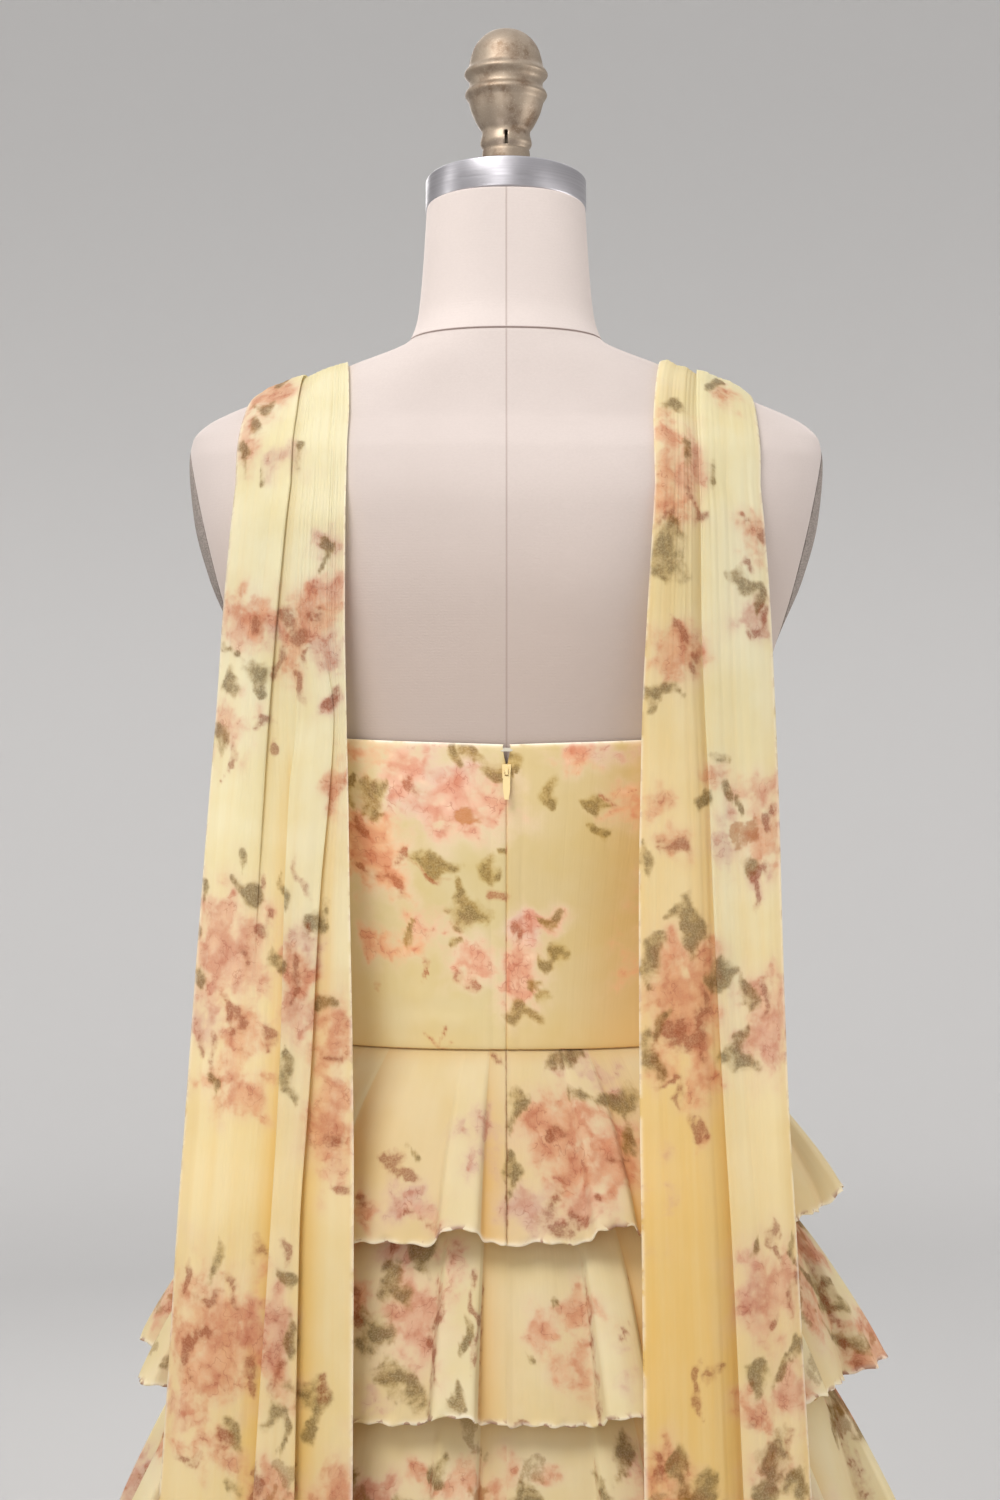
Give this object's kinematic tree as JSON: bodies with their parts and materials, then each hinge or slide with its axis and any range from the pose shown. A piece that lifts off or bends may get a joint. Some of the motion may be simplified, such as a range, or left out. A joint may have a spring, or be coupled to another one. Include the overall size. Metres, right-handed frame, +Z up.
{
  "type": "homecoming dress on limbless dress form",
  "caption": "Short tiered chiffon dress with long shoulder drapes down the back, worn by a limbless dress form on a pole and round base.",
  "frame": {"origin": "centre of the underside of the stand's round base, on the floor", "axes": "+Z up along the pole, -Y towards the wearer's front, +X towards the wearer's left"},
  "size_m": [0.5135, 0.4062, 1.6557],
  "materials": {
    "chiffon": "sheer pale yellow chiffon with a watercolour flower print",
    "lined_chiffon": "printed chiffon over an opaque lining",
    "form_cover": "fine off-white jersey drawn tight over a moulded body",
    "arm_linen": "grey linen",
    "brushed_metal": "turned and brushed",
    "finial_paint": "worn champagne metallic paint",
    "stand_paint": "off-white powder coat",
    "zip_enamel": "pale yellow enamel",
    "hook_wire": "plated wire"
  },
  "bodies": {
    "dress_and_form": {"form_torso": "form_cover", "form_neck": "form_cover", "arm_plate_left": "arm_linen", "arm_plate_right": "arm_linen", "neck_cap": "brushed_metal", "finial": "finial_paint", "stand_base": "stand_paint", "stand_pole": "brushed_metal", "stand_collar": "stand_paint", "bodice_back_left": "lined_chiffon", "bodice_side_left": "lined_chiffon", "bodice_front": "lined_chiffon", "bodice_side_right": "lined_chiffon", "bodice_back_right": "lined_chiffon", "underskirt": "lined_chiffon", "tier_1": "chiffon", "tier_2": "chiffon", "tier_3": "chiffon", "tier_4": "chiffon", "drape_left": "chiffon", "drape_right": "chiffon", "zip_slider": "zip_enamel", "hook_and_eye": "hook_wire"},
    "pull": {"zip_pull": "zip_enamel"}
  },
  "joints": [
    {"name": "pull_swing", "type": "hinge", "parent": "dress_and_form", "child": "pull", "pos_m": [0, 0.10662, 1.21], "axis": [1, 0, 0], "range_deg": [0, 160]}
  ]
}
